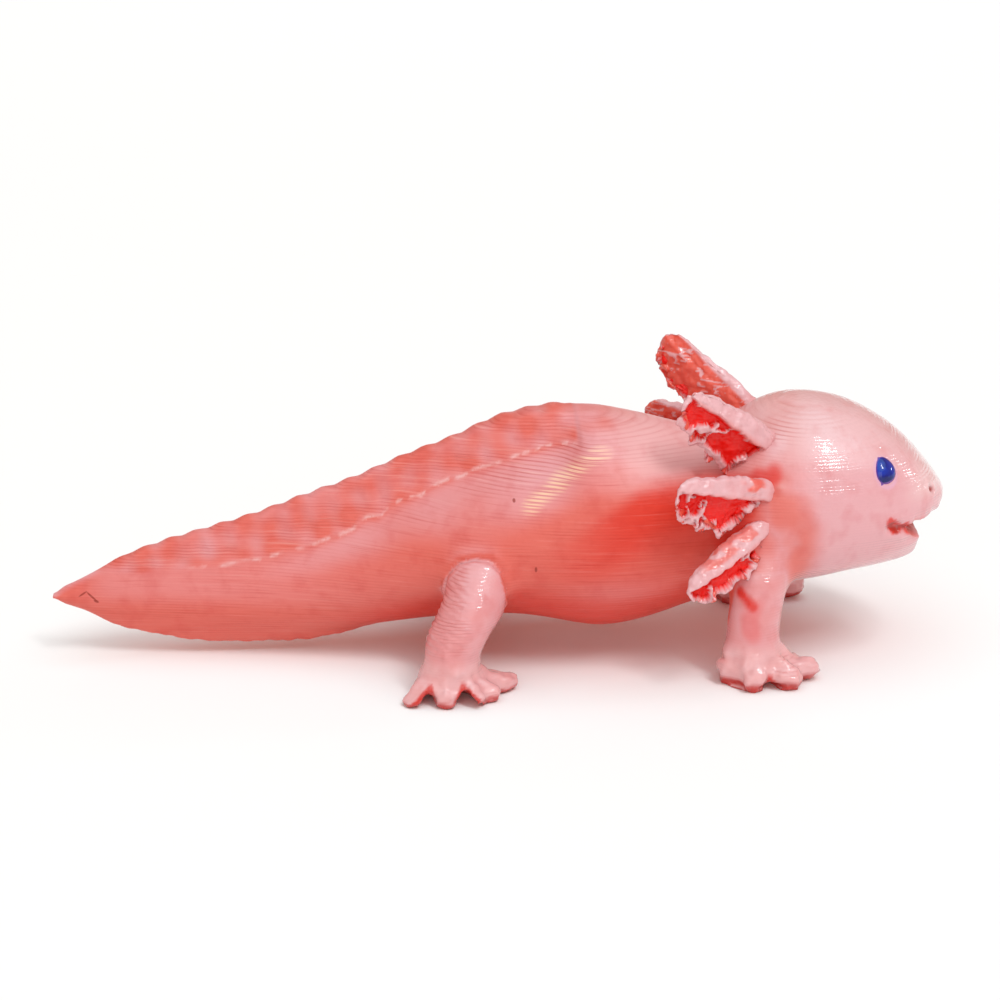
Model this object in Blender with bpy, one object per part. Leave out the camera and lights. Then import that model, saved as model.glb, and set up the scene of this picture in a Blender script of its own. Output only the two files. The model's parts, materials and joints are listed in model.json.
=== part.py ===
# Axolotl figurine: a printed and painted model, about 80 mm from nose to tail tip.
# Frame: +X towards the nose, +Y the animal's left, +Z up, soles on z = 0.
# The body is one loft, parted into its nodes with thin cuts.
import bpy
import bmesh
import numpy as np
from mathutils import Vector

MM = 0.001
GAP = 0.3                 # thin cut between neighbouring nodes, mm
FAR = 60.0                # reach of a cutting region past the body, mm

# Cut planes along the body, mm
TAIL_SPLIT_X = -18.0      # tail base to tail tip
HIP_X = -6.0              # trunk to tail base
COLLAR_X = 17.3           # trunk to neck
NAPE_X = 24.7             # neck to head
JAW_HINGE_X = 31.0        # back of the lower jaw
FIN_FRONT_X = 6.9         # front end of the dorsal fin
DORSAL_FIN_END_X = -33.0
VENTRAL_FIN_FRONT_X = -11.0
VENTRAL_FIN_END_X = -34.0

TAIL_END_X = -40.2
NOSE_X = 40.2
FIN_RING_STEP = 1.15     # half a scallop, so that the rings take its crests and dips
RING_STEP = 1.8           # ring spacing on trunk, neck and head
SNOUT_RINGS_X = 35.0      # from here the rings stand closer again
SNOUT_RING_STEP = 0.65
FLANK_STEPS = 7           # faces from crest to keel on one flank

# Fins
FIN_BASE_HALF = 1.7       # half thickness where a fin leaves the muscle
FIN_EDGE_HALF = 0.75      # half thickness near its free edge
FIN_FRONT_GROWTH = (1.6, 0.7)  # how much thicker the dorsal fin's base and edge are at its front
FIN_ROOT_DEPTH = 0.15     # how far inside the muscle's outline a fin is parted from it
FIN_CUT_POINTS = 12
SCALLOP_PITCH = 2 * FIN_RING_STEP
SCALLOP_DEPTH = 0.22

# Profiles of the body along x, mm: (x, value)
MUSCLE_TOP = [(-40.4, 6.0), (-36.0, 7.6), (-30.0, 8.4), (-26.0, 8.9), (-21.7, 9.7), (-17.2, 11.0),
              (-12.5, 13.0), (-7.7, 15.5), (-3.0, 17.7), (2.0, 19.7), (5.9, 21.0), (6.9, 23.1),
              (8.6, 23.0), (10.3, 22.6), (13.4, 21.9), (17.0, 20.9), (19.0, 20.6), (21.0, 21.5), (23.4, 23.1),
              (26.5, 23.8), (28.6, 23.7), (30.6, 23.2), (32.6, 22.5), (34.2, 21.6), (35.8, 20.4),
              (37.2, 19.1), (38.4, 17.8), (39.3, 16.7), (39.9, 15.8), (40.2, 15.1)]
MUSCLE_BOTTOM = [(-40.4, 5.5), (-36.0, 4.3), (-30.0, 3.0), (-24.0, 2.4), (-18.0, 2.3), (-11.5, 2.7),
                 (-7.8, 3.3), (-3.0, 3.8), (0.6, 3.9), (4.2, 3.4), (9.0, 2.4), (12.6, 3.0),
                 (15.6, 4.0), (18.1, 4.9), (20.3, 5.5), (22.8, 6.1), (26.0, 6.8), (28.2, 7.2),
                 (30.5, 7.7), (32.6, 8.05), (34.4, 8.3), (35.8, 8.55), (36.8, 9.0), (37.5, 9.9),
                 (37.8, 12.9), (38.6, 13.2), (39.4, 13.6), (39.9, 14.1), (40.2, 14.7)]
WIDEST_HEIGHT = [(-40.4, 5.7), (-30.0, 5.4), (-22.0, 5.6), (-15.0, 6.8), (-8.0, 8.8), (0.0, 10.8),
                 (9.0, 11.6), (18.0, 12.6), (25.0, 14.2), (31.0, 14.5), (36.0, 14.6), (40.2, 14.9)]
HALF_WIDTH = [(-40.4, 0.5), (-38.5, 0.9), (-34.0, 1.5), (-28.0, 2.1), (-22.0, 2.9), (-17.0, 3.8),
              (-12.0, 5.1), (-8.0, 6.4), (-4.0, 7.5), (0.0, 8.4), (5.0, 9.1), (9.0, 9.3),
              (13.0, 9.0), (17.0, 8.3), (19.0, 8.2), (22.0, 9.0), (25.0, 9.45), (27.0, 9.5)]
SNOUT_START_X = 27.0      # from here the head is a half ellipse seen from above
SNOUT_LENGTH = 13.25
DORSAL_EDGE = [(-40.4, 6.1), (-38.6, 7.45), (-36.0, 8.75), (-31.0, 10.75), (-26.6, 12.1), (-22.0, 13.5),
               (-17.5, 15.2), (-13.0, 16.8), (-8.5, 18.8), (-4.0, 20.5), (-0.5, 22.1), (2.2, 22.8),
               (5.0, 23.2), (7.2, 23.2)]
VENTRAL_EDGE = [(-40.4, 5.4), (-38.9, 4.4), (-36.7, 3.5), (-34.3, 2.6), (-30.7, 1.75), (-28.0, 1.25),
                (-24.3, 1.0), (-19.8, 1.0), (-15.2, 1.5), (-11.5, 2.5), (-7.8, 3.2)]

# Mouth: a wedge from its corner to the lips, mm
MOUTH_CORNER = (34.6, 13.8)
UPPER_LIP = (41.0, 13.3)
LOWER_LIP = (41.0, 9.6)
MOUTH_INSET = 0.9         # how far the painted lining lies behind the lips
LINING_START = 0.17       # where it starts, as a share of the way from corner to lip

EYE_PLACE = (33.4, 6.95, 18.8)
EYE_RADIUS = 1.15

# Gills of one side: root, tip, the direction that the fringe hangs in, its depth, and where along
# the stalk it starts and is full
GILLS = {"upper": ((24.0, 4.6, 20.2), (15.9, 8.2, 26.7), (-0.35, 0.1, -0.85), 3.7, (0.05, 0.35)),
         "middle": ((24.2, 7.4, 16.9), (14.5, 11.9, 19.4), (-0.1, 0.1, -1.0), 3.9, (0.16, 0.5)),
         "lower": ((24.2, 7.8, 14.9), (15.5, 12.5, 10.0), (0.3, 0.2, -0.9), 2.1, (0.2, 0.5))}
GILL_STALK = 1.2          # half thickness of a gill's stalk at its root
GILL_LOBES = 5

# Limbs: (place, half width across x, half width across the limb) from body to wrist or ankle
FORELEG = [((23.2, 5.0, 12.2), 2.5, 2.6), ((22.8, 7.2, 10.6), 2.7, 2.7), ((22.4, 8.6, 8.0), 2.6, 2.5),
           ((21.9, 8.9, 5.2), 2.6, 2.3), ((21.9, 9.0, 3.2), 2.6, 2.3), ((22.1, 9.3, -0.5), 2.7, 2.5)]
HINDLEG = [((-1.8, 4.5, 8.8), 2.6, 2.7), ((-2.4, 7.8, 9.1), 2.7, 2.7), ((-2.8, 10.2, 8.0), 2.7, 2.5),
           ((-4.0, 11.1, 6.0), 2.65, 2.3), ((-5.0, 11.4, 3.8), 2.6, 2.2), ((-5.1, 11.4, -0.5), 2.6, 2.3)]
LEFT_FOREFOOT_STEP = (2.1, 1.0)   # how far the left forefoot stands ahead of and outside the right one
# Toes: tip along x, tip across, height of the tip
FOREFOOT_TOES = [(28.0, 9.1, 1.2), (26.0, 11.5, 0.8), (21.6, 12.2, 0.8), (18.9, 9.6, 0.9)]
HINDFOOT_TOES = [(1.0, 9.6, 0.9), (-0.7, 12.2, 0.7), (-2.2, 13.8, 0.7), (-5.5, 14.1, 0.7), (-9.0, 13.1, 0.7)]
TOE_ROOT_Z = 1.2
TOE_REACH = (0.25, 0.85, 1.0)     # places of a toe's rings from the ankle to its tip
TOE_TAPER = ((2.1, 1.15, 0.75), (1.6, 1.1, 0.7))    # half height and half width along a toe
LIMB_SIDES = 10
TOE_SIDES = 6
WRIST_Z = 3.0
ANKLE_Z = 3.2

FORWARD = Vector((1, 0, 0))
UP = Vector((0, 0, 1))

PINK = (0.82, 0.36, 0.34)
RED = (0.74, 0.03, 0.015)
BLUE = (0.02, 0.04, 0.30)


def smooth(knots, x):
    """Value at x of a curve through the knots, without overshoot."""
    xs = np.array([k[0] for k in knots])
    ys = np.array([k[1] for k in knots])
    x = float(np.clip(x, xs[0], xs[-1]))
    slopes = np.diff(ys) / np.diff(xs)
    tangents = np.concatenate([[slopes[0]], (slopes[1:] + slopes[:-1]) / 2, [slopes[-1]]])
    flat = np.concatenate([[False], slopes[1:] * slopes[:-1] <= 0, [False]])
    tangents[flat] = 0.0
    i = int(np.clip(np.searchsorted(xs, x) - 1, 0, len(xs) - 2))
    step = xs[i + 1] - xs[i]
    t = (x - xs[i]) / step
    return ((2 * t**3 - 3 * t**2 + 1) * ys[i] + (t**3 - 2 * t**2 + t) * step * tangents[i]
            + (-2 * t**3 + 3 * t**2) * ys[i + 1] + (t**3 - t**2) * step * tangents[i + 1])


def ease(value, low, high):
    """0 below low, 1 above high, smooth between."""
    t = min(max((value - low) / (high - low), 0.0), 1.0)
    return t * t * (3 - 2 * t)


def half_width(x):
    if x < SNOUT_START_X:
        return smooth(HALF_WIDTH, x)
    along = min((x - SNOUT_START_X) / SNOUT_LENGTH, 1.0)
    return HALF_WIDTH[-1][1] * np.sqrt(max(1 - along**2, 0.0))


def dorsal_presence(x):
    return ease(x, -40.8, -37.5) * (1 - ease(x, FIN_FRONT_X - 0.4, FIN_FRONT_X + 0.1))


def ventral_presence(x):
    return ease(x, -40.8, -37.5) * (1 - ease(x, -13.0, -7.5))


def dorsal_edge(x):
    wave = np.sin(np.pi * (x - TAIL_END_X) / SCALLOP_PITCH) ** 2
    return smooth(DORSAL_EDGE, x) + SCALLOP_DEPTH * ease(x, -36.0, -30.0) * (wave - 0.5)


def body_section(x, grow=0.0, fins=True):
    """Half outline of the body at x, from the crest down, as (half width, height) pairs."""
    mid, wide = smooth(WIDEST_HEIGHT, x), half_width(x) + grow
    up = smooth(MUSCLE_TOP, x) + grow - mid
    down = mid - smooth(MUSCLE_BOTTOM, x) + grow
    square = 2.0 + 0.35 * ease(x, 20.0, 28.0)     # the head is a little boxier than the trunk

    def oval(angle):
        s, c = np.sin(angle), np.cos(angle)
        return (wide * s ** (2 / square), mid + (up if c > 0 else down) * np.sign(c) * abs(c) ** (2 / square))

    fin = dorsal_presence(x) if fins else 0.0
    keel = ventral_presence(x) if fins else 0.0
    thick = ease(x, -8.0, FIN_FRONT_X) if fins else 0.0
    base = min((FIN_BASE_HALF + FIN_FRONT_GROWTH[0] * thick) / wide, 0.75)
    crest_angle = np.arcsin(base ** (square / 2))
    edge_z = dorsal_edge(x)
    keel_z = smooth(VENTRAL_EDGE, x)
    rim = min(FIN_EDGE_HALF + FIN_FRONT_GROWTH[1] * thick, 0.45 * wide)
    points = []
    root = oval(crest_angle)
    for share, half in ((0.0, 0.0), (0.06, rim), (0.5, (rim + root[0]) / 2)):
        plain = oval(crest_angle * (0.0 if share == 0 else 0.3 + 0.5 * share))
        tall = (half, edge_z + (root[1] - edge_z) * share)
        points.append(tuple(fin * b + (1 - fin) * a for a, b in zip(plain, tall)))
    for i in range(FLANK_STEPS + 1):
        points.append(oval(crest_angle + (np.pi - 2 * crest_angle) * i / FLANK_STEPS))
    root = oval(np.pi - crest_angle)
    for share, half in ((0.5, (rim + root[0]) / 2), (0.06, rim), (0.0, 0.0)):
        plain = oval(np.pi - crest_angle * (0.0 if share == 0 else 0.3 + 0.5 * share))
        tall = (half, keel_z + (root[1] - keel_z) * share)
        points.append(tuple(keel * b + (1 - keel) * a for a, b in zip(plain, tall)))
    return points


def add_object(name, mesh):
    obj = bpy.data.objects.new(name, mesh)
    parts.objects.link(obj)
    return obj


def loft(name, rings):
    """Closed skin over rings of points, each end drawn to its ring's middle."""
    bm = bmesh.new()
    loops = [[bm.verts.new(Vector(p) * MM) for p in ring] for ring in rings]
    for a, b in zip(loops, loops[1:]):
        for i in range(len(a)):
            j = (i + 1) % len(a)
            bm.faces.new((a[i], a[j], b[j], b[i]))
    for loop in (loops[0], loops[-1]):
        tip = bm.verts.new(sum((v.co for v in loop), Vector()) / len(loop))
        for i in range(len(loop)):
            bm.faces.new((loop[i], loop[(i + 1) % len(loop)], tip))
    bmesh.ops.recalc_face_normals(bm, faces=bm.faces[:])
    mesh = bpy.data.meshes.new(name)
    bm.to_mesh(mesh)
    bm.free()
    return add_object(name, mesh)


def ring_places(start, end):
    """Places of the rings along x, closer on the fins and on the snout."""
    places = []
    x = start
    while x < end - SNOUT_RING_STEP / 2:
        places.append(x)
        x += FIN_RING_STEP if x < FIN_FRONT_X else RING_STEP if x < SNOUT_RINGS_X else SNOUT_RING_STEP
    return places + [end]


def body_loft(name, start, end, grow=0.0, fins=True):
    rings = []
    for x in ring_places(start, end):
        half = body_section(x, grow, fins)
        rings.append([(x, -w, z) for w, z in half] + [(x, w, z) for w, z in half[-2:0:-1]])
    return loft(name, rings)


def tube(name, stations, sides, rings_between, reference):
    """Tube through stations of (place, half size towards the reference axis, half size across it)."""
    places = np.array([s[0] for s in stations], float)
    halves = np.array([s[1:] for s in stations], float)
    at = np.arange(len(stations))
    rings = []
    samples = np.linspace(0, len(stations) - 1, (len(stations) - 1) * rings_between + 1)
    path = [Vector([smooth(list(zip(at, places[:, k])), s) for k in range(3)]) for s in samples]
    for i, s in enumerate(samples):
        along = (path[min(i + 1, len(path) - 1)] - path[max(i - 1, 0)]).normalized()
        across = along.cross(reference).normalized()
        fore = across.cross(along)
        a, b = (smooth(list(zip(at, halves[:, k])), s) for k in range(2))
        rings.append([path[i] + fore * (a * np.cos(t)) + across * (b * np.sin(t))
                      for t in np.linspace(0, 2 * np.pi, sides, endpoint=False)])
    return loft(name, rings)


def region(name, outline):
    """Prism over an outline of (x, z) points, reaching past both flanks."""
    bm = bmesh.new()
    face = bm.faces.new([bm.verts.new((x * MM, -FAR * MM, z * MM)) for x, z in outline])
    swept = bmesh.ops.extrude_face_region(bm, geom=[face])
    moved = [v for v in swept["geom"] if isinstance(v, bmesh.types.BMVert)]
    bmesh.ops.translate(bm, verts=moved, vec=(0, 2 * FAR * MM, 0))
    bmesh.ops.recalc_face_normals(bm, faces=bm.faces[:])
    mesh = bpy.data.meshes.new(name)
    bm.to_mesh(mesh)
    bm.free()
    return add_object(name, mesh)


def span(x_low, x_high, z_low=-FAR, z_high=FAR):
    return region("span", [(x_low, z_low), (x_high, z_low), (x_high, z_high), (x_low, z_high)])


def combine(obj, tool, operation, keep_tool=False):
    """Apply a Boolean to obj, and remove the tool unless it is wanted again."""
    modifier = obj.modifiers.new(operation, "BOOLEAN")
    modifier.operation = operation
    modifier.object = tool
    modifier.use_self = operation == "UNION"
    bpy.context.view_layer.update()
    mesh = bpy.data.meshes.new_from_object(obj.evaluated_get(bpy.context.evaluated_depsgraph_get()))
    obj.modifiers.clear()
    obj.data = mesh
    if not keep_tool:
        bpy.data.objects.remove(tool)
    return obj


def copy_of(obj, name):
    twin = obj.copy()
    twin.data = obj.data.copy()
    twin.name = name
    parts.objects.link(twin)
    return twin


def mirror_across(obj):
    """Move a piece to the animal's other side."""
    bm = bmesh.new()
    bm.from_mesh(obj.data)
    bmesh.ops.scale(bm, vec=(1, -1, 1), verts=bm.verts[:])
    bmesh.ops.reverse_faces(bm, faces=bm.faces[:])
    bm.to_mesh(obj.data)
    bm.free()
    return obj


def paint(obj, colour, name):
    material = bpy.data.materials.get(name) or bpy.data.materials.new(name)
    material.use_nodes = True
    shader = material.node_tree.nodes["Principled BSDF"]
    shader.inputs["Base Color"].default_value = (*colour, 1)
    shader.inputs["Roughness"].default_value = 0.25
    shader.inputs["Metallic"].default_value = 0.0
    obj.data.materials.clear()
    obj.data.materials.append(material)
    obj.data.shade_smooth()
    obj.data.set_sharp_from_angle(angle=0.7)


def dorsal_region(gap):
    """All that lies above the muscle's crest along the dorsal fin, widened by gap."""
    front, end = FIN_FRONT_X + gap, DORSAL_FIN_END_X - gap
    crest = [knot for knot in MUSCLE_TOP if knot[0] < FIN_FRONT_X]
    places = np.linspace(front, end, FIN_CUT_POINTS)
    line = [(x, smooth(crest, x) - FIN_ROOT_DEPTH - gap) for x in places]
    return region("dorsal_region", line + [(end, FAR), (front, FAR)])


def ventral_region(gap):
    """All that lies below the muscle along the ventral fin, widened by gap."""
    front, end = VENTRAL_FIN_FRONT_X + gap, VENTRAL_FIN_END_X - gap
    places = np.linspace(front, end, FIN_CUT_POINTS)
    line = [(x, smooth(MUSCLE_BOTTOM, x) + FIN_ROOT_DEPTH + gap) for x in places]
    return region("ventral_region", line + [(end, -FAR), (front, -FAR)])


def build_body():
    """The whole body from tail tip to nose, parted into fins, tail, trunk, neck and head."""
    whole = body_loft("whole", TAIL_END_X, NOSE_X)
    dorsal_fin = combine(copy_of(whole, "dorsal_fin"), dorsal_region(0.0), "INTERSECT")
    ventral_fin = combine(copy_of(whole, "ventral_fin"), ventral_region(0.0), "INTERSECT")
    core = combine(copy_of(whole, "core"), dorsal_region(GAP), "DIFFERENCE")
    core = combine(core, ventral_region(GAP), "DIFFERENCE")
    edges = [-FAR, TAIL_SPLIT_X, HIP_X, COLLAR_X, NAPE_X, FAR]
    names = ["tail_tip", "tail_base", "trunk", "neck", "head"]
    pieces = {"dorsal_fin": dorsal_fin, "ventral_fin": ventral_fin}
    for name, low, high in zip(names, edges, edges[1:]):
        slab = span(low + GAP / 2, high - GAP / 2)
        pieces[name] = combine(copy_of(core, name), slab, "INTERSECT")
    for spare in (whole, core):
        bpy.data.objects.remove(spare)
    return pieces


def build_mouth(head):
    """Part the head into skull and lower jaw, with a painted lining between the lips."""
    corner_x, corner_z = MOUTH_CORNER
    half = GAP / 2
    jaw_outline = [(JAW_HINGE_X, -FAR), (FAR, -FAR), (FAR, LOWER_LIP[1]), LOWER_LIP,
                   (corner_x, corner_z - half), (JAW_HINGE_X, corner_z - half)]
    open_outline = [(JAW_HINGE_X - GAP, -FAR), (FAR, -FAR), (FAR, UPPER_LIP[1]), UPPER_LIP,
                    (corner_x, corner_z + half), (JAW_HINGE_X - GAP, corner_z + half)]
    lower_jaw = combine(copy_of(head, "lower_jaw"), region("jaw", jaw_outline), "INTERSECT")
    lining = body_loft("mouth_lining", 33.0, 38.4, grow=-MOUTH_INSET, fins=False)
    top, bottom = ([(corner_x + (lip_x - corner_x) * share, corner_z + (lip_z - corner_z) * share + shift)
                    for share in (LINING_START, 1.0)]
                   for (lip_x, lip_z), shift in ((UPPER_LIP, half - GAP), (LOWER_LIP, GAP - half)))
    slot = top + bottom[::-1]
    combine(lining, region("slot", slot), "INTERSECT")
    combine(head, region("opening", open_outline), "DIFFERENCE")
    return lower_jaw, lining


def ball(name, centre, radius):
    bm = bmesh.new()
    bmesh.ops.create_uvsphere(bm, u_segments=20, v_segments=12, radius=radius * MM)
    bmesh.ops.translate(bm, verts=bm.verts[:], vec=Vector(centre) * MM)
    mesh = bpy.data.meshes.new(name)
    bm.to_mesh(mesh)
    bm.free()
    return add_object(name, mesh)


def build_gill(name, root, tip, hang, depth, start, body):
    """Tapering stalk with a lobed fringe under it, as one teardrop section swept out."""
    root, tip, hang = Vector(root), Vector(tip), Vector(hang)
    along = (tip - root).normalized()
    hang = (hang - along * hang.dot(along)).normalized()
    side = along.cross(hang)
    rings = []
    for t in np.linspace(0, 1, 2 * GILL_LOBES + 5):
        taper = np.sqrt(1 - max(t - 0.8, 0.0) ** 2 / 0.2**2 * 0.9)
        stalk = GILL_STALK * (1.15 - 0.35 * t) * taper
        lobe = 0.8 + 0.2 * np.sin(np.pi * GILL_LOBES * t) ** 2
        fringe = depth * ease(t, *start) * lobe * (0.55 + 0.45 * taper) * (1.15 - 0.5 * t)
        centre = root + (tip - root) * t + hang * (-0.25 * np.sin(np.pi * t))
        ring = []
        for a in np.linspace(0, 2 * np.pi, 10, endpoint=False):
            down = (1 - np.cos(a)) / 2
            reach = -stalk * np.cos(a) + fringe * down**1.5
            thick = stalk * np.sin(a) * (1 - 0.35 * down)
            ring.append(centre + hang * reach + side * thick)
        rings.append(ring)
    gill = loft(name, rings)
    return combine(gill, body, "DIFFERENCE", keep_tool=True)


def stepped(place, top, step):
    """A point of a leg after its foot is set down step further on, the shoulder staying where it is."""
    x, y, z = place
    share = ease(top - z, 0.0, top)
    return (x + step[0] * share, y + step[1] * share, z)


def build_leg(names, stations, toes, cut_z, step, body):
    """Limb and foot of one leg: a tube, its toes and a flat sole, parted at the wrist or ankle."""
    top = stations[0][0][2]
    stations = [(stepped(p, top, step), a, b) for p, a, b in stations]
    ankle = Vector((*stations[-1][0][:2], TOE_ROOT_Z))
    leg = tube(names[0], stations, LIMB_SIDES, 2, FORWARD)
    for toe_tip in toes:
        tip = Vector(stepped(toe_tip, top, step))
        reach = [ankle.lerp(tip, share) for share in TOE_REACH]
        combine(leg, tube("toe", list(zip(reach, *TOE_TAPER)), TOE_SIDES, 1, UP), "UNION")
    combine(leg, span(-FAR, FAR, -FAR, 0.0), "DIFFERENCE")
    foot = combine(copy_of(leg, names[1]), span(-FAR, FAR, -FAR, cut_z), "INTERSECT")
    combine(leg, span(-FAR, FAR, -FAR, cut_z + GAP), "DIFFERENCE")
    combine(leg, body, "DIFFERENCE", keep_tool=True)
    return leg, foot


for old in list(bpy.data.objects):
    bpy.data.objects.remove(old)
parts = bpy.data.collections.new("axolotl_figurine")
bpy.context.scene.collection.children.link(parts)

pieces = build_body()
grown = body_loft("grown", -12.0, 36.0, grow=GAP, fins=False)
pieces["lower_jaw"], pieces["mouth_lining"] = build_mouth(pieces["head"])

pieces["eye_left"] = ball("eye_left", EYE_PLACE, EYE_RADIUS)
combine(pieces["eye_left"], grown, "DIFFERENCE", keep_tool=True)
pieces["eye_right"] = mirror_across(copy_of(pieces["eye_left"], "eye_right"))

shoulder = tube("shoulder", [(p, a + GAP, b + GAP) for p, a, b in FORELEG], LIMB_SIDES, 2, FORWARD)
for place, shape in GILLS.items():
    left = build_gill(f"gill_left_{place}", *shape, grown)
    combine(left, shoulder, "DIFFERENCE", keep_tool=True)
    pieces[left.name] = left
    pieces[f"gill_right_{place}"] = mirror_across(copy_of(left, f"gill_right_{place}"))

for limb, foot, stations, toes, cut_z, left_step in (
        ("foreleg", "forefoot", FORELEG, FOREFOOT_TOES, WRIST_Z, LEFT_FOREFOOT_STEP),
        ("hindleg", "hindfoot", HINDLEG, HINDFOOT_TOES, ANKLE_Z, (0.0, 0.0))):
    for side, step in (("left", left_step), ("right", (0.0, 0.0))):
        names = (f"{limb}_{side}", f"{foot}_{side}")
        for piece in build_leg(names, stations, toes, cut_z, step, grown):
            if side == "right":
                mirror_across(piece)
            pieces[piece.name] = piece
for spare in (grown, shoulder):
    bpy.data.objects.remove(spare)

for name, piece in pieces.items():
    if name.startswith("eye"):
        paint(piece, BLUE, "blue_enamel")
    elif name == "mouth_lining":
        paint(piece, RED, "red_enamel")
    else:
        paint(piece, PINK, "pink_enamel")
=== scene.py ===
# Axolotl figurine: printed in layers and painted by hand in gloss enamel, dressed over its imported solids.
import json
import math
from functools import partial
import bpy
import numpy as np
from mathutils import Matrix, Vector, noise
from mathutils.bvhtree import BVHTree

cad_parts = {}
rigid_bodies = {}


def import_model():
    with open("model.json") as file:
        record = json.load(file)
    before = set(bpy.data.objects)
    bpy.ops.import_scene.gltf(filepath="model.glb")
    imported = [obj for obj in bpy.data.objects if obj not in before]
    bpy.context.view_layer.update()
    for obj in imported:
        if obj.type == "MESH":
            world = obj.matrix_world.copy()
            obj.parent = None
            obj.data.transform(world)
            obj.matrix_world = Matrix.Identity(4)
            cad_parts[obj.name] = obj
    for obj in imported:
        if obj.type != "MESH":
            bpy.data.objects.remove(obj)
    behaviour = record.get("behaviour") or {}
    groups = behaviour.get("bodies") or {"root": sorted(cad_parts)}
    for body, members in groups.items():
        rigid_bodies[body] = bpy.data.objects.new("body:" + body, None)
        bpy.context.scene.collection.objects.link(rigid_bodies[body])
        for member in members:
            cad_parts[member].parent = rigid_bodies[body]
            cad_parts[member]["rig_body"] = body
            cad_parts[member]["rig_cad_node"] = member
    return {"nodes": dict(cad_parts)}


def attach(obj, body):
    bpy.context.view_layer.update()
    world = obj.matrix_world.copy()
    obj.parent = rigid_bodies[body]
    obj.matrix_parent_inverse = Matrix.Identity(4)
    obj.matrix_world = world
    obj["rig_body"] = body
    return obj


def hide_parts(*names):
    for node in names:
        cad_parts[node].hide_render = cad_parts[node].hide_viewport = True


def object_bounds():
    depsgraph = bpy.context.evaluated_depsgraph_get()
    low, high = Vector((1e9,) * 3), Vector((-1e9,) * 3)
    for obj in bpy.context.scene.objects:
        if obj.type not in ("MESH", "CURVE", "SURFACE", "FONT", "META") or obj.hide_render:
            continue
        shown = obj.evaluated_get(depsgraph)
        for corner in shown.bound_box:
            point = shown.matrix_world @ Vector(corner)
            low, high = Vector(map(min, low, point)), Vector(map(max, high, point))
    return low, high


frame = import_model()
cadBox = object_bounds()
nodes = frame["nodes"]
scene = bpy.context.scene
mm = 0.001
layerHeight = 0.27    # mm, one pass of the printer's nozzle
tailEnd = cadBox[0].x / mm


def hexColour(code):    # sRGB hex to linear
    channels = [int(code[i:i + 2], 16) / 255 for i in (1, 3, 5)]
    return tuple(c / 12.92 if c < 0.04045 else ((c + 0.055) / 1.055) ** 2.4 for c in channels) + (1.0,)


def useOnly(*objs):
    for other in list(bpy.context.selected_objects):
        other.select_set(False)
    for obj in objs:
        obj.select_set(True)
    bpy.context.view_layer.objects.active = objs[0]


def applyModifier(obj, kind, **settings):
    useOnly(obj)
    modifier = obj.modifiers.new(kind, kind)
    for name, value in settings.items():
        setattr(modifier, name, value)
    bpy.ops.object.modifier_apply(modifier=modifier.name)


def nodeCopy(name, nodeName):    # a free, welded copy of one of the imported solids
    twin = nodes[nodeName].copy()
    twin.data = nodes[nodeName].data.copy()
    twin.name = twin.data.name = name
    twin.parent = None
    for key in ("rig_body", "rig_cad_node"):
        del twin[key]
    scene.collection.objects.link(twin)
    useOnly(twin)
    bpy.ops.object.mode_set(mode="EDIT")
    bpy.ops.mesh.select_all(action="SELECT")
    bpy.ops.mesh.remove_doubles(threshold=0.002 * mm)
    bpy.ops.object.mode_set(mode="OBJECT")
    return twin


def readMesh(obj):    # vertex places in mm, their normals, and the edges
    mesh = obj.data
    places = np.empty(len(mesh.vertices) * 3)
    mesh.vertices.foreach_get("co", places)
    normals = np.empty(len(mesh.vertices) * 3)
    mesh.vertices.foreach_get("normal", normals)
    edges = np.empty(len(mesh.edges) * 2, int)
    mesh.edges.foreach_get("vertices", edges)
    return places.reshape(-1, 3) / mm, normals.reshape(-1, 3), edges.reshape(-1, 2)


def writePlaces(obj, places):
    obj.data.vertices.foreach_set("co", (places * mm).ravel())
    obj.data.update()


def smoothed(places, edges, rounds, weight=None, keepSize=False):    # draws points to their neighbours
    first, second = edges.T
    count = len(places)
    weight = np.ones(count) if weight is None else weight
    links = np.bincount(first, minlength=count) + np.bincount(second, minlength=count)
    for push in (0.5, -0.52) * rounds if keepSize else (0.5,) * rounds:
        middle = np.stack([np.bincount(first, places[second, k], count)
                           + np.bincount(second, places[first, k], count) for k in range(3)], axis=1)
        places = places + (middle / links[:, None] - places) * push * weight[:, None]
    return places


def ease(value, low, high):    # 0 up to low, 1 from high on, and smooth in between
    t = np.clip((np.asarray(value, float) - low) / (high - low), 0, 1)
    return t * t * (3 - 2 * t)


def between(value, start, full, fade, end):    # rises from start to full, falls from fade to end
    return ease(value, start, full) * (1 - ease(value, fade, end))


def mound(distance, width):    # 1 at distance 0, and next to nothing at twice the width
    return np.exp(-(distance / width) ** 2)


def rough(places, size, seed):    # smooth noise from -1 to 1, its lumps about size mm apart
    shift = Vector((seed * 17.3, seed * 5.1, seed * 9.7))
    return np.array([noise.noise(Vector(p) / size + shift) for p in places])


def cells(places, size, seed):    # distances to the two nearest of scattered points, in parts of size
    shift = Vector((seed * 3.7, seed * 7.9, seed * 1.3))
    found = [noise.voronoi(Vector(p) / size + shift)[0] for p in places]
    return np.array([f[0] for f in found]), np.array([f[1] for f in found])


def strokeDistance(places, points):    # distance in mm from a line through the points
    best = np.full(len(places), 1e9)
    for start, end in zip(np.array(points[:-1], float), np.array(points[1:], float)):
        along = end - start
        share = np.clip((places - start) @ along / (along @ along), 0, 1)
        best = np.minimum(best, np.linalg.norm(places - start - share[:, None] * along, axis=1))
    return best


def folded(places):    # both sides laid onto the left one
    return places * (1, 0, 1) + np.abs(places) * (0, 1, 0)


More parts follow.
